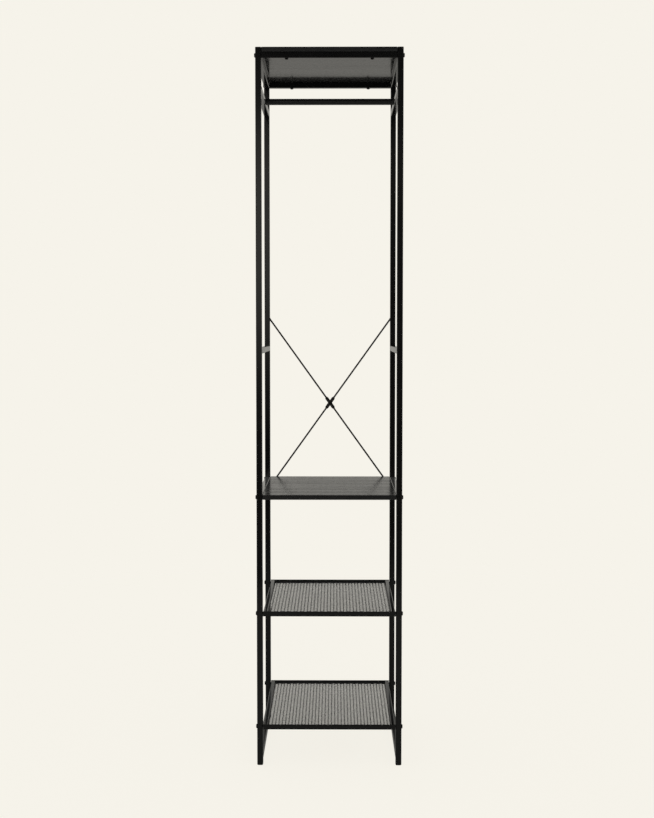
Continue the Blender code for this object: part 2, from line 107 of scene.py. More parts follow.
# %% Trees
class Tree:
    def __init__(self, owner):
        owner.use_nodes = True
        self.owner = owner
        self.nodes = owner.node_tree.nodes
        self.links = owner.node_tree.links

    def node(self, kind, settings=None, sockets=None):
        made = self.nodes.new(kind)
        for key, value in (settings or {}).items():
            if key == "stops":
                self.set_stops(made.color_ramp, value)
            else:
                setattr(made, key, value)
        for key, value in (sockets or {}).items():
            self.feed(made.inputs[key], value)
        return made

    def feed(self, socket, value):
        if isinstance(value, Value):
            self.links.new(value.socket, socket)
        elif isinstance(value, bpy.types.NodeSocket):
            self.links.new(value, socket)
        else:
            socket.default_value = value

    @staticmethod
    def set_stops(ramp, stops):
        for place, _ in stops[2:]:
            ramp.elements.new(place)
        for element, (place, shade) in zip(ramp.elements, stops):
            element.position = place
            element.color = (shade, shade, shade, 1)

    def axes(self, vector):
        """The three parts of a vector."""
        parts = self.node("ShaderNodeSeparateXYZ", {}, {"Vector": vector})
        return [Value(self, parts.outputs[axis]) for axis in "XYZ"]

    def curve(self, value, stops):
        """Reshapes a value through a ramp of stops."""
        ramp = self.node("ShaderNodeValToRGB", {"stops": stops}, {"Fac": value})
        return Value(self, ramp.outputs["Color"])

    def mix(self, factor, first, second):
        """A mix of two colours."""
        mixed = self.node("ShaderNodeMix", {"data_type": "RGBA"},
                          {"Factor": factor, "A": (*first, 1), "B": (*second, 1)})
        return mixed.outputs["Result"]


# %% [markdown]
# A finish is a tree with a Principled shader, plus what we ask of a finish: a noise pattern in
# real millimetres, which way the surface faces, a base colour, a roughness, and a bump.


# %% Finishes
class Finish(Tree):
    """One material. Constants go straight onto the shader's own sockets."""

    def __init__(self, name, constants):
        super().__init__(bpy.data.materials.new(name))
        self.shader = self.nodes["Principled BSDF"]
        self.places = self.node("ShaderNodeTexCoord").outputs["Object"]
        for socket, value in constants.items():
            self.shader.inputs[socket].default_value = value

    def noise(self, size, detail):
        """A soft random pattern. Size is in millimetres: one number, or one along each axis."""
        along = size if isinstance(size, tuple) else (size, size, size)
        scale = tuple(1 / (length * MM) for length in along)
        drawn_out = self.node("ShaderNodeMapping", {}, {"Vector": self.places, "Scale": scale})
        sockets = {"Vector": drawn_out.outputs["Vector"], "Scale": 1.0, "Detail": detail}
        return Value(self, self.node("ShaderNodeTexNoise", {}, sockets).outputs["Fac"])

    def facing(self, sign):
        """One on a face that looks up, or down if the sign is -1, and nothing on a wall."""
        normal = self.node("ShaderNodeNewGeometry").outputs["Normal"]
        return (self.axes(normal)[2] * sign).at_least(0)

    def colour(self, factor, first, second):
        """The base colour: a mix of two colours."""
        self.feed(self.shader.inputs["Base Color"], self.mix(factor, first, second))

    def roughness(self, value):
        self.feed(self.shader.inputs["Roughness"], value)

    def relief(self, height, depth):
        """A bump whose full height is depth, in millimetres."""
        bump = self.node("ShaderNodeBump", {}, {"Height": height, "Distance": depth * MM})
        self.feed(self.shader.inputs["Normal"], bump.outputs["Normal"])


# %% [markdown]
# ## Powder coat
#
# The frame is sprayed with black powder and baked. Three things show: the surface has a faint
# orange peel a couple of millimetres across, finer grain inside that, and a slow drift in gloss
# where the coat is thicker or thinner. The black is very deep seen square on, but at a shallow
# angle the same coat mirrors the studio as a soft grey, which is what draws thin light lines along
# the bars in the picture. The shader's own Fresnel does both, if the colour is close to nothing.
#
# The coats differ in their two blacks and in their roughness: folded sheet is the smoothest, the
# rail and the thin rods are the roughest. The shoe shelves also look paler towards their rear, and
# that light is painted into their colour: their second colour is a pale grey of painted light,
# which grows from front to rear and is stronger on level faces than on walls.


# %% Powder coat
LACQUER = {"Specular IOR Level": 0.5, "IOR": 1.5}
DRIFT, PEEL, COAT_GRAIN = 110, 2.3, 0.45  # sizes of the three patterns, in millimetres
COAT_RELIEF = 0.004
SHELF_DEPTH = 380
RANDOM_TONE_SHARE = 0.04
PAINTED_LIGHT_ON_WALLS = 0.15


def powder_coat(name, dark, light, roughness, painted_rear_light=False):
    coat = Finish(name, LACQUER)
    drift = coat.noise(DRIFT, detail=3)
    peel = coat.noise(PEEL, detail=1)
    grain = coat.noise(COAT_GRAIN, detail=1)
    tone = drift * 0.7 + peel * 0.3
    # Painted light: paler towards the rear of the shelves, most on faces that look up.
    if painted_rear_light:
        _, y, _ = coat.axes(coat.places)
        rear = (y * (1 / (SHELF_DEPTH * MM)) + 0.5).at_least(0)
        tone = tone * RANDOM_TONE_SHARE + rear * (coat.facing(1) + PAINTED_LIGHT_ON_WALLS)
    coat.colour(tone, dark, light)
    coat.roughness(roughness + (drift - 0.5) * 0.10 + (grain - 0.5) * 0.06)
    coat.relief(peel * 0.7 + grain * 0.3, COAT_RELIEF)
    return coat.owner


# %% Five powder coats
JET = (0.0008, 0.0008, 0.0008)
# A pale grey for the painted light on the shoe shelves, and the pale end of their random tone.
PALE_TONE_AND_PAINTED_LIGHT = (0.050, 0.050, 0.048)

frame_coat = powder_coat("frame_powder_coat", (0.0009, 0.0009, 0.0010),
                         (0.0029, 0.0028, 0.0027), 0.12)
shelf_coat = powder_coat("shelf_powder_coat", JET, PALE_TONE_AND_PAINTED_LIGHT, 0.09, painted_rear_light=True)
mesh_coat = powder_coat("mesh_powder_coat", JET, PALE_TONE_AND_PAINTED_LIGHT, 0.18, painted_rear_light=True)
rod_coat = powder_coat("rod_powder_coat", (0.0030, 0.0030, 0.0029),
                       (0.0080, 0.0076, 0.0070), 0.30)
rail_coat = powder_coat("rail_powder_coat", (0.0022, 0.0022, 0.0022),
                        (0.0065, 0.0063, 0.0060), 0.26)
coats = (frame_coat, shelf_coat, mesh_coat, rod_coat, rail_coat)
print("powder coats:", *(coat.name for coat in coats))

# %% [markdown]
# ## Grained board
#
# Both boards are chipboard under a black foil that is printed and embossed like open-pored ash.
# The grain runs from left to right. It is made of long streaks a centimetre or two apart, finer
# fibres inside them, and short pores that are pressed in. Streaks and fibres are noise that is
# drawn out along X. The pores keep only the lowest values of such a noise, through a ramp. The
# underside mirrors the room a little more sharply than the top, so it is made smoother.


# %% Grained board
STREAK = (520, 26, 26)  # sizes along each axis, in millimetres
FIBRE = (75, 2.1, 2.1)
PORE = (16, 0.7, 0.7)
FOIL_RELIEF = 0.006
FOIL_ROUGHNESS = 0.25
SMOOTHER_BELOW = 0.07


def grained_foil(name):
    foil = Finish(name, LACQUER)
    streaks = foil.curve(foil.noise(STREAK, detail=4), [(0.32, 0.0), (0.68, 1.0)])
    fibres = foil.noise(FIBRE, detail=2)
    between_pores = foil.curve(foil.noise(PORE, detail=1), [(0.36, 0.0), (0.46, 1.0)])
    tone = streaks * 0.6 + fibres * 0.4
    foil.colour(tone * between_pores, (0.0030, 0.0030, 0.0031), (0.0145, 0.0143, 0.0140))
    smoother = foil.facing(-1) * SMOOTHER_BELOW + streaks * 0.09 + fibres * 0.04
    foil.roughness(FOIL_ROUGHNESS - smoother + (1 - between_pores) * 0.15)
    foil.relief(fibres * 0.35 + between_pores * 0.65, FOIL_RELIEF)
    return foil.owner


board_foil = grained_foil("black_ash_foil")
print("board foil:", board_foil.name)

# %% [markdown]
# ## Plastic and screw steel
#
# Feet and caps are moulded in matt black plastic, with the fine even grain of a spark-eroded
# mould and a slight cloudiness. The screws are blackened steel: metal, dark, with small smears of
# oil that change the gloss.


# %% Plastic and screws
CLOUD, PLASTIC_GRAIN = 14, 0.35  # sizes of the patterns, in millimetres
PLASTIC_RELIEF = 0.012
SMEAR, PITTING = 5.5, 0.5
STEEL_RELIEF = 0.015


def moulded_plastic(name):
    plastic = Finish(name, {"Specular IOR Level": 0.5, "IOR": 1.46})
    cloud = plastic.noise(CLOUD, detail=2)
    grain = plastic.noise(PLASTIC_GRAIN, detail=2)
    plastic.colour(cloud * 0.5 + grain * 0.5, (0.0025, 0.0025, 0.0025), (0.0080, 0.0078, 0.0074))
    plastic.roughness(0.46 + grain * 0.14)
    plastic.relief(grain, PLASTIC_RELIEF)
    return plastic.owner


def blackened_steel(name):
    steel = Finish(name, {"Metallic": 1.0})
    smear = steel.noise(SMEAR, detail=4)
    pitting = steel.noise(PITTING, detail=1)
    steel.colour(smear, (0.0120, 0.0120, 0.0130), (0.0340, 0.0330, 0.0320))
    steel.roughness(0.28 + smear * 0.20)
    steel.relief(pitting, STEEL_RELIEF)
    return steel.owner


plug_plastic = moulded_plastic("moulded_plug_plastic")
screw_steel = blackened_steel("blackened_screw_steel")
print("small parts:", plug_plastic.name, screw_steel.name)

# %% [markdown]
# ## Softer edges on the solids
#
# The tubes are drawn with a rounded corner and the boards with an eased edge. The solids have one
# flat facet there. Four modifiers turn it into a round one and leave the stored mesh alone: Weld
# joins the loose triangles, Decimate merges those that lie in one plane, Bevel rounds each edge,
# and Weighted Normal keeps the wide faces looking flat.


# %% Round the edges
TRIANGLE_GAP = 0.01  # millimetres
FLAT_WITHIN = 1  # degrees
EDGE_OVER = 30  # degrees


def keep_flat(piece):
    normals = piece.modifiers.new("flat_faces_stay_flat", "WEIGHTED_NORMAL")
    normals.keep_sharp = True


def soften(piece, radius, segments):
    weld = piece.modifiers.new("join_triangles", "WELD")
    weld.merge_threshold = TRIANGLE_GAP * MM
    flat = piece.modifiers.new("merge_flat_faces", "DECIMATE")
    flat.decimate_type = "DISSOLVE"
    flat.angle_limit = math.radians(FLAT_WITHIN)
    bevel = piece.modifiers.new("round_edges", "BEVEL")
    bevel.limit_method = "ANGLE"
    bevel.angle_limit = math.radians(EDGE_OVER)
    bevel.width = radius * MM
    bevel.segments = segments
    keep_flat(piece)


# %% Give each solid its finish
BOARD_EDGE = (0.35, 2)  # radius in millimetres, and segments
PLASTIC_EDGE = (0.5, 3)
TUBE_EDGE = (0.6, 2)


def dress(piece, finish):
    piece.data.materials.clear()
    piece.data.materials.append(finish)


for name, piece in nodes.items():
    if "board" in name and "screw" not in name:
        dress(piece, board_foil)
        soften(piece, *BOARD_EDGE)
    elif name.endswith(("foot", "cap")):
        dress(piece, plug_plastic)
        soften(piece, *PLASTIC_EDGE)
    elif name.endswith(("post", "bar", "tube")):
        dress(piece, frame_coat)
        soften(piece, *TUBE_EDGE)
    elif name == "hanging_rail":
        dress(piece, rail_coat)
softened = sum(len(piece.modifiers) > 0 for piece in nodes.values())
print(softened, "solids keep their own shape, with softer edges")

# %% [markdown]
# ## Adding a piece
#
# Each new piece is a mesh that rides on the stand's one body and belongs to one of the finish
# slots. Where it refines a solid, it stands for that solid. The shape is a bmesh, which is used
# up, or a mesh that another piece has as well.


# %% Make a piece from a shape
SHARP_OVER = 40  # degrees


def make_piece(name, shape, finish, stands_for=(), place=None):
    mesh = shape
    if isinstance(shape, bmesh.types.BMesh):
        bmesh.ops.recalc_face_normals(shape, faces=shape.faces)
        mesh = bpy.data.meshes.new(name)
        shape.to_mesh(mesh)
        shape.free()
        mesh.materials.append(finish)
        mesh.shade_smooth()
        mesh.set_sharp_from_angle(angle=math.radians(SHARP_OVER))
    piece = bpy.data.objects.new(name, mesh)
    bpy.context.scene.collection.objects.link(piece)
    if place is not None:
        piece.matrix_world = place
    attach(piece, "root")
    if stands_for:
        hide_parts(*stands_for)
    return piece


def add_loops(shape, loops, closed=False):
    """Faces through loops of equal count: capped at both ends, or joined end to end."""
    made = [[shape.verts.new(point) for point in loop] for loop in loops]
    pairs = list(zip(made, made[1:])) + ([(made[-1], made[0])] if closed else [])
    count = len(made[0])
    for low, high in pairs:
        for k in range(count):
            after = (k + 1) % count
            shape.faces.new((low[k], low[after], high[after], high[k]))
    if not closed:
        shape.faces.new(made[0])
        shape.faces.new(made[-1])


# %% [markdown]
# ## Side bars beside the shelf board
#
# The picture shows one more pair of side bars, which the solids lack. Their tops are level with
# the top of the shelf board, and they fill the space between it and the outer sides of the frame.
# Each is the same square tube as the other side bars, and as long as the middle one above it. Its
# walls are drawn as four loops joined end to end: two outside and two inside the bore.


# %% Build the two bars
TUBE = 15.0
TUBE_WALL = 1.2
TUBE_CORNER = 1.6
CORNER_STEPS = 4


def tube_ring(side, corner, y):
    """Points round a square with rounded corners, across the Y axis. All in millimetres."""
    ring = []
    for quarter in range(4):
        diagonal = math.radians(90 * quarter + 45)
        centre_x = math.copysign(side / 2 - corner, math.cos(diagonal))
        centre_z = math.copysign(side / 2 - corner, math.sin(diagonal))
        for k in range(CORNER_STEPS + 1):
            turn = math.radians(90 * (quarter + k / CORNER_STEPS))
            ring.append(((centre_x + corner * math.cos(turn)) * MM, y * MM,
                         (centre_z + corner * math.sin(turn)) * MM))
    return ring


bore = TUBE - 2 * TUBE_WALL
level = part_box("shelf_board")[1].z / MM - TUBE / 2
for side in ("left", "right"):
    low, high = (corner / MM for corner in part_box(f"{side}_middle_bar"))
    half = (high.y - low.y) / 2
    bar = bmesh.new()
    outside = [tube_ring(TUBE, TUBE_CORNER, end) for end in (-half, half)]
    inside = [tube_ring(bore, TUBE_CORNER / 2, end) for end in (half, -half)]
    add_loops(bar, outside + inside, closed=True)
    place = Matrix.Translation(Vector(((low.x + high.x) / 2, (low.y + high.y) / 2, level)) * MM)
    keep_flat(make_piece(f"{side}_shelf_board_bar", bar, shelf_coat, place=place))
print("two bars", round(2 * half, 1), "mm long at", round(level, 1), "mm")

# %% [markdown]
# ## The mesh of the shoe shelves
#
# Each shoe shelf is a frame of folded sheet with expanded metal welded inside. Expanded metal is
# slit and pulled, which opens long diamonds in staggered rows: here 17 mm from left to right and
# under 8 mm from front to back. In the picture its rows melt together and only the columns show.
#
# We build one diamond with half a strand all round it, repeat it over the floor, weld the copies
# where they meet, and trim the sheet with four cuts, so that it ends wherever the shears happened
# to fall, as the real one does. Real geometry matters here, because the light comes through it.

# %% One diamond
DIAMOND_HALF_WIDTH = 8.51  # millimetres, like all sizes here
DIAMOND_HALF_DEPTH = 3.82
STRAND = 3.0
MESH_THICKNESS = 0.5
STRAND_CROWN = 0.17  # how far a strand falls from its middle to the edge of the opening
FLAT_TOP = 0.22  # an opening's front and rear corners are cut off to this share of the half width
BLUNT_TIP = 0.08  # and its left and right tips to this share of the half depth
MESH_BELOW_RIM = 7.5


def diamond_cell():
    """Points of one diamond, centred at the origin: strand lines outside, opening inside."""
    width, depth = DIAMOND_HALF_WIDTH, DIAMOND_HALF_DEPTH
    inradius = width * depth / math.hypot(width, depth)
    share = 1 - STRAND / 2 / inradius
    tip, tip_half = share * width * (1 - BLUNT_TIP), share * depth * BLUNT_TIP
    flat, flat_half = FLAT_TOP * width, (share - FLAT_TOP) * depth
    outer = [(width, 0), (0, depth), (-width, 0), (0, -depth)]
    inner = [(tip, -tip_half), (tip, tip_half), (flat, flat_half), (-flat, flat_half),
             (-tip, tip_half), (-tip, -tip_half), (-flat, -flat_half), (flat, -flat_half)]
    return outer, inner


def add_cell(shape, x, y, outer, inner):
    top = MESH_THICKNESS / 2
    edge = top - STRAND_CROWN
    rings = [[shape.verts.new(((x + a) * MM, (y + b) * MM, z * MM)) for a, b in ring]
             for ring, z in ((outer, top), (inner, edge), (inner, -edge), (outer, -top))]
    for strand, opening in ((rings[0], rings[1]), (rings[3], rings[2])):
        for k in range(4):
            corner, after = strand[k], strand[(k + 1) % 4]
            first, second, third = (opening[(2 * k + step) % 8] for step in range(3))
            shape.faces.new((corner, second, first))
            shape.faces.new((corner, after, third, second))
    for k in range(8):
        after = (k + 1) % 8
        shape.faces.new((rings[1][k], rings[1][after], rings[2][after], rings[2][k]))


# %% Repeat the diamond and trim the sheet
SPARE = 2  # columns and rows beyond each edge, for the cuts to trim
WELD_WITHIN = 0.01
CUT_WITHIN = 0.0005


def expanded_metal(half_width, half_depth, shift):
    """A sheet centred at the origin. Shift moves its columns sideways. All in millimetres."""
    shape = bmesh.new()
    outer, inner = diamond_cell()
    columns = math.ceil(half_width / DIAMOND_HALF_WIDTH) + SPARE
    rows = math.ceil(half_depth / DIAMOND_HALF_DEPTH) + SPARE
    for column in range(-columns, columns + 1):
        for row in range(-rows, rows + 1):
            if (column + row) % 2 == 0:
                add_cell(shape, column * DIAMOND_HALF_WIDTH + shift, row * DIAMOND_HALF_DEPTH,
                         outer, inner)
    bmesh.ops.remove_doubles(shape, verts=shape.verts, dist=WELD_WITHIN * MM)
    for axis, reach in ((0, half_width), (1, half_depth)):
        for sign in (-1, 1):
            normal = Vector((0, 0, 0))
            normal[axis] = sign
            cut = bmesh.ops.bisect_plane(
                shape, geom=[*shape.verts, *shape.edges, *shape.faces], dist=CUT_WITHIN * MM,
                plane_co=normal * reach * MM, plane_no=normal, clear_outer=True)
            rim = [item for item in cut["geom_cut"] if isinstance(item, bmesh.types.BMEdge)]
            bmesh.ops.holes_fill(shape, edges=rim, sides=0)
    return shape


# %% [markdown]
# ## The folded frame of a shoe shelf
#
# Along each side the sheet is folded into an upside-down channel, which hides the weld nuts for
# the screws. Front and rear have an upright lip, and the one at the rear is lower. A narrow ledge
# inside carries the mesh. Folds in sheet metal have a radius, so a section is drawn as a line
# through the middle of the sheet, its corners are rounded, and the line is thickened to both
# sides.


# %% Fold a strip of sheet
FOLD_STEPS = 5


def rounded(line, radii):
    """A line with an arc at each corner."""
    points = [Vector(line[0])]
    for before, corner, after, radius in zip(line, line[1:], line[2:], radii):
        corner = Vector(corner)
        towards = (Vector(before) - corner).normalized()
        onwards = (Vector(after) - corner).normalized()
        half = towards.angle(onwards) / 2
        centre = corner + (towards + onwards).normalized() * radius / math.sin(half)
        start = corner + towards * radius / math.tan(half) - centre
        end = corner + onwards * radius / math.tan(half) - centre
        for k in range(FOLD_STEPS + 1):
            points.append(centre + start.slerp(end, k / FOLD_STEPS))
    return points + [Vector(line[-1])]


def thickened(points, thickness):
    """The closed outline of a strip of sheet whose middle follows the points."""
    left, right = [], []
    for k, point in enumerate(points):
        along = (points[min(k + 1, len(points) - 1)] - points[max(k - 1, 0)]).normalized()
        side = Vector((-along.y, along.x)) * thickness / 2
        left.append(point + side)
        right.append(point - side)
    return left + right[::-1]


def add_strip(shape, outline, low, high, axis):
    """Pulls an outline out along X or Y. All in millimetres."""
    loops = []
    for reach in (low, high):
        if axis == "Y":
            loops.append([(p.x * MM, reach * MM, p.y * MM) for p in outline])
        else:
            loops.append([(reach * MM, p.x * MM, p.y * MM) for p in outline])
    add_loops(shape, loops)


# %% [markdown]
# Nuts, screws and rivets are turned shapes, and some of their parts are six-sided. All their rings
# have 24 points, and a hexagon pushes those points out to its sides, so that any two rings can be
# joined. The nuts sit where the screws come through, so their places are measured from the solids
# of the screws.


# %% Rings and weld nuts
RING_STEP = 15  # degrees
NUT_ACROSS = 8  # from flat to flat
NUT_HEIGHT = 4
NUT_SHOULDER = 0.85  # share of the height below the chamfer
NUT_CHAMFER = 0.7
NUT_HOLE = 2.6  # radius


def turned_ring(radius, six_sided=False):
    """Points on a circle, or on a hexagon whose flats are at the radius."""
    ring = []
    for degrees in range(0, 360, RING_STEP):
        turn = math.radians(degrees)
        from_flat = (turn % math.radians(60)) - math.radians(30)
        reach = radius / math.cos(from_flat) if six_sided else radius
        ring.append((reach * math.cos(turn), reach * math.sin(turn)))
    return ring


def add_weld_nut(shape, seat, inward, y, z):
    """A six-sided nut on the inner face of a channel. Its hole takes the shelf screw."""
    side = NUT_ACROSS / 2
    loops = []
    for radius, six_sided, share in ((side, True, 0), (side, True, NUT_SHOULDER),
                                     (side - NUT_CHAMFER, False, 1), (NUT_HOLE, False, 1),
                                     (NUT_HOLE, False, 0)):
        x = seat + inward * share * NUT_HEIGHT
        loops.append([(x * MM, (y + a) * MM, (z + b) * MM)
                      for a, b in turned_ring(radius, six_sided)])
    add_loops(shape, loops, closed=True)


# %% The parts of a shelf's frame
SHEET = 1.2
FOLD_RADIUS = 1.8
LEDGE = 1.2
LEDGE_RADIUS = 1.0
REAR_LIP = 10.3
CHANNEL = 12


def shelf_frame(kind):
    low, high = (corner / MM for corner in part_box(f"{kind}_mesh_shelf"))
    middle_y = (low.y + high.y) / 2
    half_depth = (high.y - low.y) / 2
    half_sheet = SHEET / 2
    ledge_level = high.z - MESH_BELOW_RIM - MESH_THICKNESS - half_sheet
    fold_level = high.z - half_sheet
    inner = high.x - CHANNEL + half_sheet
    outer = high.x - half_sheet
    shape = bmesh.new()
    for sign in (-1, 1):
        line = [(sign * (inner - LEDGE - half_sheet), ledge_level), (sign * inner, ledge_level),
                (sign * inner, fold_level), (sign * outer, fold_level), (sign * outer, low.z)]
        outline = thickened(rounded(line, (LEDGE_RADIUS, FOLD_RADIUS, FOLD_RADIUS)), SHEET)
        start, end = middle_y - half_depth + SHEET, middle_y + half_depth - SHEET
        add_strip(shape, outline, start, end, "Y")
    for sign in (-1, 1):
        wall = middle_y + sign * (half_depth - half_sheet)
        crest = [Vector((wall + half_sheet * math.cos(math.radians(degrees)),
                         fold_level + half_sheet * math.sin(math.radians(degrees))))
                 for degrees in range(0, 181, 30)]
        foot = low.z if sign < 0 else high.z - REAR_LIP
        outline = crest + [Vector((wall - half_sheet, foot)), Vector((wall + half_sheet, foot))]
        add_strip(shape, outline, low.x, high.x, "X")
        root = wall - sign * half_sheet
        tip = root - sign * LEDGE
        top, bottom = ledge_level + half_sheet, ledge_level - half_sheet
        ledge = [Vector(p) for p in ((root, top), (root, bottom), (tip, bottom), (tip, top))]
        add_strip(shape, ledge, -inner + half_sheet, inner - half_sheet, "X")
    for side, sign in (("left", -1), ("right", 1)):
        for depth in ("front", "rear"):
            screw_low, screw_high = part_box(f"{kind}_shelf_screw_{side}_{depth}")
            centre = (screw_low + screw_high) / 2 / MM
            add_weld_nut(shape, sign * (high.x - SHEET), -sign, centre.y, centre.z)
    return shape


# %% Build both shoe shelves
COLUMN_SHIFT = {"lower": 1.1, "upper": -1.7}

for kind in ("lower", "upper"):
    low, high = (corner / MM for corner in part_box(f"{kind}_mesh_shelf"))
    keep_flat(make_piece(f"{kind}_shelf_frame", shelf_frame(kind), shelf_coat,
                         [f"{kind}_mesh_shelf"]))
    sheet = expanded_metal(high.x - CHANNEL, (high.y - low.y) / 2 - SHEET, COLUMN_SHIFT[kind])
    bmesh.ops.translate(sheet, verts=sheet.verts, vec=Vector(
        (0, (low.y + high.y) / 2, high.z - MESH_BELOW_RIM - MESH_THICKNESS / 2)) * MM)
    mesh_piece = make_piece(f"{kind}_shelf_mesh", sheet, mesh_coat,
                            [f"{kind}_mesh_shelf"])
    print(mesh_piece.name, "has", len(mesh_piece.data.polygons), "faces")

# %% [markdown]
# ## Screws
#
# Every screw is a button head with a six-sided socket. The head is a low dome, so it is turned
# like a pot, from the bottom of the socket over the dome and down the shank. One mesh serves all
# screws of a size.


# %% Turn a button-head screw
SOCKET_DEPTH = 1.4
SOCKET_CHAMFER = 0.15
HEAD_FLAT = 0.72  # radius of the head's flat top, as a share of the socket's width
HEAD_RIM = 0.5
HEAD_CHAMFER = 0.12
SHANK_CHAMFER = 0.6


def screw_shape(head, head_height, shank, length, socket):
    """The shank runs up along +Z from the underside of the head, at the origin. Millimetres."""
    hexagons = [(socket / 2, SOCKET_DEPTH - head_height),
                (socket / 2, SOCKET_CHAMFER - head_height),
                (socket / 2 + SOCKET_CHAMFER, -head_height)]
    flat = socket * HEAD_FLAT
    circles = []
    for degrees in range(RING_STEP, 91, RING_STEP):
        turn = math.radians(degrees)
        circles.append((flat + (head / 2 - flat) * math.sin(turn),
                        -HEAD_RIM - (head_height - HEAD_RIM) * math.cos(turn)))
    circles += [(head / 2, -HEAD_CHAMFER), (head / 2 - HEAD_CHAMFER, 0), (shank / 2, 0),
                (shank / 2, length - SHANK_CHAMFER), (shank / 2 - SHANK_CHAMFER, length)]
    shape = bmesh.new()
    add_loops(shape, [[(a * MM, b * MM, z * MM) for a, b in turned_ring(radius, six_sided)]
                      for rings, six_sided in ((hexagons, True), (circles, False))
                      for radius, z in rings])
    return shape


# %% [markdown]
# The sizes of a screw are the head's width and height, the shank's width and length, and the
# socket's width. A screw is set with its head outwards, so that it ends where its solid does.

# %% Place the screws
SCREWS = {
    "frame": (11, 2.6, 4.8, 25, 4),
    "board": (9, 2.6, 3.8, 24, 3),
    "brace": (8, 2.2, 3.8, 10, 3),
}
OUTWARD = {"left": (-1, 0, 0), "right": (1, 0, 0), "board": (0, 0, -1), "brace": (0, 1, 0)}

screw_meshes = {}
for name in sorted(nodes):
    if "_screw_" not in name:
        continue
    size = name.split("_")[0] if name.startswith(("board", "brace")) else "frame"
    side = "left" if "left" in name else "right"
    outward = Vector(OUTWARD[size] if size in OUTWARD else OUTWARD[side])
    low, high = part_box(name)
    seat = (low + high) / 2
    reach = abs((high - low).dot(outward)) / 2
    seat += outward * (reach - SCREWS[size][1] * MM)
    turned = (-outward).to_track_quat("Z", "Y").to_matrix().to_4x4()
    shape = screw_meshes.get(size) or screw_shape(*SCREWS[size])
    piece = make_piece(name.replace("screw", "button_screw"), shape, screw_steel,
                       [name], Matrix.Translation(seat) @ turned)
    screw_meshes[size] = piece.data
print(len(screw_meshes), "screw meshes for", sum("_screw_" in name for name in nodes), "screws")

# %% [markdown]
# ## The crossed brace
#
# Two thin rods cross behind the rear posts and stop the stand from leaning sideways. Each is a
# round rod, stamped flat into an eye at its ends and into a short strap at the middle, where one
# rivet holds the pair. A section that changes from round to flat is a superellipse whose two
# widths are blended along the rod, so that the stamped shoulders come out soft.
#
# A rod is a list of stations from its middle to one end, each with its place along the rod, its
# width, its thickness, and how far its middle plane lies behind the posts. The other half is the
# mirror image.

# %% Shape of a rod
ROD = 4.7
ROD_FLAT = 1.6
ROD_SIDES = 20
GAP = 0.3
STRAP = 9.3
STRAP_HALF = 15.0
SHOULDER = 6.0  # length over which the strap turns into the round rod
NECK = 7.0  # length over which the round rod turns into the root of the eye
NECK_START = 14.0  # before the middle of the eye
EYE_ROOT = 6.2  # width where the neck ends
EYE = 11.0
EYE_TIP = 0.6
EYE_TURN = range(42, 181, 6)  # degrees round the eye, from its root to its tip
EYE_PLANE = GAP + ROD_FLAT / 2
ROD_PLANE = GAP + ROD / 2
STRAP_STEP = (ROD_FLAT + GAP) / 2
STRAP_STEPS = 4
STEPS = 6


def section(along, width, thickness, plane):
    """A ring across the rod: round where both widths agree, with soft corners where it is flat."""
    squareness = 0.5 + 0.5 * min(width, thickness) / max(width, thickness)
    ring = []
    for k in range(ROD_SIDES):
        turn = 2 * math.pi * (k + 0.5) / ROD_SIDES
        c, s = math.cos(turn), math.sin(turn)
        x = math.copysign(abs(c) ** squareness, c) * width / 2
        y = math.copysign(abs(s) ** squareness, s) * thickness / 2
        ring.append((x * MM, (y + plane) * MM, along * MM))
    return ring


def blended(first, last, start, length):
    """Stations that go softly from one width, thickness and plane to another."""
    stations = []
    for k in range(STEPS + 1):
        share = k / STEPS
        eased = share * share * (3 - 2 * share)
        stations.append((start + length * k / STEPS,
                         *(a + (b - a) * eased for a, b in zip(first, last))))
    return stations


def rod_shape(half_length, strap_plane):
    strap = (STRAP, ROD_FLAT, strap_plane)
    rod = (ROD, ROD, ROD_PLANE)
    eye_root = (EYE_ROOT, ROD_FLAT, EYE_PLANE)
    stations = [(STRAP_HALF * k / STRAP_STEPS, *strap) for k in range(STRAP_STEPS + 1)]
    stations += blended(strap, rod, STRAP_HALF, SHOULDER)[1:]
    stations += blended(rod, eye_root, half_length - NECK_START, NECK)
    for degrees in EYE_TURN:
        turn = math.radians(degrees)
        stations.append((half_length - EYE / 2 * math.cos(turn),
                         max(EYE * math.sin(turn), EYE_TIP), ROD_FLAT, EYE_PLANE))
    mirrored = [(-along, *rest) for along, *rest in reversed(stations[1:])]
    shape = bmesh.new()
    add_loops(shape, [section(*station) for station in mirrored + stations])
    return shape


# %% [markdown]
# Holes are drilled through the eyes and the strap. A Boolean needs a cutter object, so the drill
# is made, used at once, and removed.

# %% Drill a rod
DRILL_SIDES = 24
DRILL_LENGTH = 20


def drill(piece, radius, heights):
    """Round holes through a rod, square to its flats."""
    tool = bmesh.new()
    for height in heights:
        turned = Matrix.Translation((0, 0, height * MM)) @ Matrix.Rotation(math.pi / 2, 4, "X")
        bmesh.ops.create_cone(tool, cap_ends=True, segments=DRILL_SIDES, radius1=radius * MM,
                              radius2=radius * MM, depth=DRILL_LENGTH * MM, matrix=turned)
    cutter_mesh = bpy.data.meshes.new("drill")
    tool.to_mesh(cutter_mesh)
    tool.free()
    cutter = bpy.data.objects.new("drill", cutter_mesh)
    bpy.context.scene.collection.objects.link(cutter)
    cutter.matrix_world = piece.matrix_world
    bpy.context.view_layer.update()
    step = piece.modifiers.new("holes", "BOOLEAN")
    step.object = cutter
    step.solver = "EXACT"
    graph = bpy.context.evaluated_depsgraph_get()
    drilled = bpy.data.meshes.new_from_object(piece.evaluated_get(graph))
    piece.modifiers.clear()
    piece.data = drilled
    bpy.data.objects.remove(cutter)
    drilled.set_sharp_from_angle(angle=math.radians(SHARP_OVER))


# %% [markdown]
# Where the rods lie is measured from the posts, the rivet and the screws. Each rod is built
# upright and then leaned over by its slant.

# %% Build the brace
EYE_HOLE = 2.3  # radii
RIVET_HOLE = 2.4

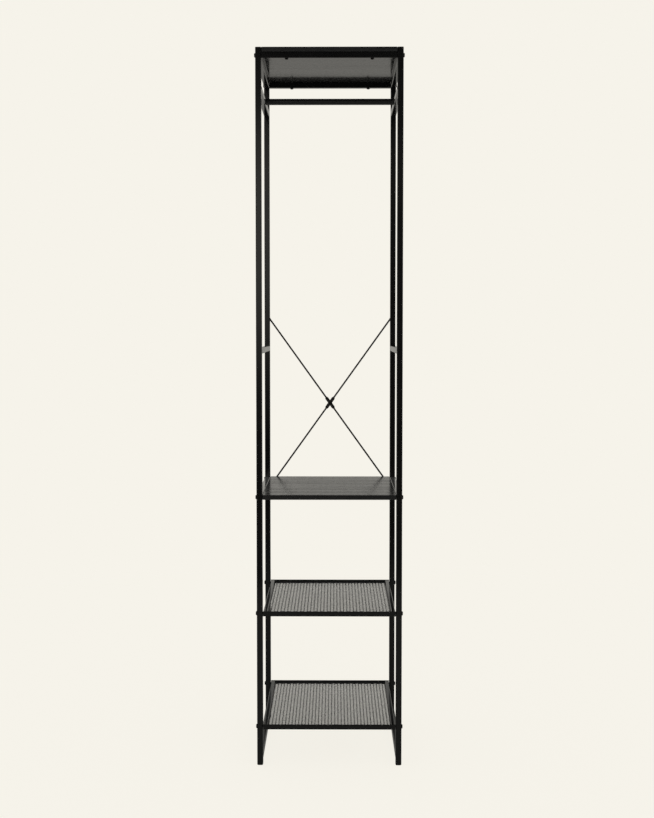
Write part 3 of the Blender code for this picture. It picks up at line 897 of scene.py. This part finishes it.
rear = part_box("left_rear_upper_post")[1].y / MM
rivet_plane = sum(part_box("brace_rivet"), Vector()).y / 2 / MM - rear
lower_eye, upper_eye = (sum(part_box(f"brace_screw_left_{end}"), Vector()) / 2 / MM
                        for end in ("lower", "upper"))
post_x = -upper_eye.x
eye_rise = (upper_eye.z - lower_eye.z) / 2
crossing = (upper_eye.z + lower_eye.z) / 2
reach = math.hypot(post_x, eye_rise)
slant = math.atan2(post_x, eye_rise)
for direction, sign in (("right", 1), ("left", -1)):
    upright = Matrix.Translation(Vector((0, rear, crossing)) * MM)
    lie = upright @ Matrix.Rotation(sign * slant, 4, "Y")
    rod = make_piece(f"crossed_rod_rising_{direction}",
                     rod_shape(reach, rivet_plane - sign * STRAP_STEP),
                     rod_coat, [f"brace_rod_rising_{direction}"], lie)
    drill(rod, EYE_HOLE, (-reach, reach))
    drill(rod, RIVET_HOLE, (0,))
    print(rod.name, "is", round(2 * reach, 1), "mm between its eyes")

# %% Rivet
RIVET_HEAD = 4.0  # radii
RIVET_HEAD_FLAT = 0.8
RIVET_SHANK = 2.0
RIVET_DOME = 1.2

low, high = (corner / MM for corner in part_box("brace_rivet"))
half = (high.y - low.y) / 2
rings = []
for degrees in range(0, 91, RING_STEP):
    turn = math.radians(degrees)
    rings.append((RIVET_HEAD_FLAT + (RIVET_HEAD - RIVET_HEAD_FLAT) * math.sin(turn),
                  -half + RIVET_DOME - RIVET_DOME * math.cos(turn)))
rings += [(RIVET_SHANK, -half + RIVET_DOME)]
rings += [(radius, -level) for radius, level in reversed(rings)]
rivet = bmesh.new()
add_loops(rivet, [[(a * MM, level * MM, b * MM) for a, b in turned_ring(radius)]
                  for radius, level in rings])
make_piece("crossing_rivet", rivet, screw_steel, ["brace_rivet"],
           Matrix.Translation((low + high) / 2 * MM))
print("rivet", round(2 * half, 1), "mm long")

# %% [markdown]
# ## Studio
#
# The picture has an even pale background, and the black frame gets its shape only from what it
# mirrors. So the world gives three things. Matt surfaces get an even light of strength one. The
# camera sees the pale backdrop, with no change. Glossy surfaces see the same backdrop as a lit
# room: bright low down, where the light falls on the sweep, dim higher up and dim behind the
# camera. A soft light at the left of the camera lifts the upper left post in the picture. A faint
# glow seven degrees up, all round except straight behind the stand and straight in front of it, is
# mirrored by the two ends of the shelf board, which are lighter than its middle.

# %% Levels of the room
BACKDROP = (0.922, 0.896, 0.823)
DAYLIGHT = (1.0, 1.0, 1.0)
ROOM_LEVELS = [(0.0, 0.60), (0.30, 0.60), (0.39, 0.42), (0.46, 0.42), (0.53, 0.48),
               (0.58, 0.48), (0.60, 0.46), (0.61, 0.36), (0.64, 0.30), (0.655, 0.20),
               (0.70, 0.10), (0.75, 0.12), (1.0, 0.25)]
ROOM_FRONT = [(0.0, 0.10), (0.2, 0.10), (0.45, 1.0)]
SIDE_GLOW = [(0.0, 0.0), (0.545, 0.0), (0.556, 0.14), (0.571, 0.14), (0.585, 0.0), (1.0, 0.0)]
GLOW_RISE = 600  # the glow starts about 1 degree to the side and is full from 2.6 degrees
GLOW_START = 0.25
SOFT_LIGHT_TOWARDS = Vector((-0.155, -0.985, 0.07)).normalized()
SOFT_LIGHT_EDGE = 0.9895  # cosine of its half angle
SOFT_LIGHT = 1.42

world = bpy.data.worlds.new("studio")
bpy.context.scene.world = world
sky = Tree(world)
towards = sky.node("ShaderNodeTexCoord").outputs["Generated"]
across, back, up = sky.axes(towards)
height = up * 0.5 + 0.5
room = sky.curve(height, ROOM_LEVELS) * sky.curve(back * 0.5 + 0.5, ROOM_FRONT)
sides = (across * across * GLOW_RISE - GLOW_START).at_least(0).at_most(1)
room = room + sides * sky.curve(height, SIDE_GLOW)
aim = sky.node("ShaderNodeVectorMath", {"operation": "DOT_PRODUCT"},
               {0: towards, 1: SOFT_LIGHT_TOWARDS})
inside = (Value(sky, aim.outputs["Value"]) - SOFT_LIGHT_EDGE).at_least(0)
room = room + inside * (SOFT_LIGHT / (1 - SOFT_LIGHT_EDGE))
print("room levels from", min(level for _, level in ROOM_LEVELS), "to",
      max(level for _, level in ROOM_LEVELS), "of the backdrop")

# %% World
rays = sky.node("ShaderNodeLightPath").outputs
glossy, through, direct = (Value(sky, rays[f"Is {kind} Ray"])
                           for kind in ("Glossy", "Transmission", "Camera"))
mirrored = glossy.at_least(through)
background = sky.nodes["Background"]
seen = mirrored.at_least(direct)
sky.feed(background.inputs["Color"], sky.mix(seen, DAYLIGHT, BACKDROP))
sky.feed(background.inputs["Strength"], 1 - mirrored * (1 - room))
print("world: backdrop", BACKDROP, "for the camera, room levels for gloss")

# %% [markdown]
# The floor is a round sheet of paper in the backdrop's colour. Most of its light is given off by
# the paper itself and the rest is caught from the world, so it melts into the backdrop at its rim
# and keeps a faint shadow under the stand.

# %% Floor
FLOOR_RADIUS = 2.4  # metres
FLOOR_SIDES = 96
FLOOR_DROP = 0.0002
FLOOR_IN_GLOSS = (0.15, 0.15, 0.14)  # what a glossy surface mirrors
OWN_LIGHT = 0.94

ground = bmesh.new()
bmesh.ops.create_circle(ground, cap_ends=True, segments=FLOOR_SIDES, radius=FLOOR_RADIUS)
ground_mesh = bpy.data.meshes.new("studio_floor")
ground.to_mesh(ground_mesh)
ground.free()
floor = bpy.data.objects.new("studio_floor", ground_mesh)
floor.location.z = -FLOOR_DROP
bpy.context.scene.collection.objects.link(floor)
print("studio floor", 2 * FLOOR_RADIUS, "m across")

# %% Paper
paper = Tree(bpy.data.materials.new("studio_paper"))
paper.nodes.remove(paper.nodes["Principled BSDF"])
matt = paper.node("ShaderNodeBsdfDiffuse", {}, {"Color": (*BACKDROP, 1)})
rays = paper.node("ShaderNodeLightPath").outputs
own_colour = paper.mix(rays["Is Glossy Ray"], BACKDROP, FLOOR_IN_GLOSS)
glow = paper.node("ShaderNodeEmission", {}, {"Color": own_colour})
spread = Value(paper, rays["Is Diffuse Ray"])
surface = paper.node("ShaderNodeMixShader", {}, {
    "Fac": (1 - spread) * OWN_LIGHT, 1: matt.outputs["BSDF"], 2: glow.outputs["Emission"]})
paper.feed(paper.nodes["Material Output"].inputs["Surface"], surface.outputs["Shader"])
floor.data.materials.append(paper.owner)
print("paper that gives off", OWN_LIGHT, "of its light itself")

# %% [markdown]
# ## Camera
#
# The lens was worked out from the picture: the camera stands 3.1 m in front of the stand, a little
# to the right of its middle and at chest height, and looks down by three degrees. The picture was
# cropped after it was taken, which a small vertical shift repeats.

# %% Camera
CAMERA_AWAY = 3114  # millimetres
CAMERA_RIGHT = 14.5
CAMERA_HEIGHT = 1121.3
LOOKS_DOWN = 3.123  # degrees
LOOKS_LEFT = 0.3757
LENS = 54.37
SENSOR = 36
CROP_SHIFT = -0.0166
VIEW_END = 200  # metres

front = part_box("left_front_lower_post")[0].y / MM
view = bpy.data.cameras.new("front_view")
view.lens = LENS
view.sensor_width = SENSOR
view.shift_y = CROP_SHIFT
view.clip_end = VIEW_END
camera = bpy.data.objects.new("front_view", view)
camera.location = Vector((CAMERA_RIGHT, front - CAMERA_AWAY, CAMERA_HEIGHT)) * MM
camera.rotation_euler = (math.radians(90 - LOOKS_DOWN), 0, math.radians(LOOKS_LEFT))
bpy.context.scene.collection.objects.link(camera)
bpy.context.scene.camera = camera
bpy.context.scene.view_settings.view_transform = "Standard"
print("camera", [round(v, 3) for v in camera.location])
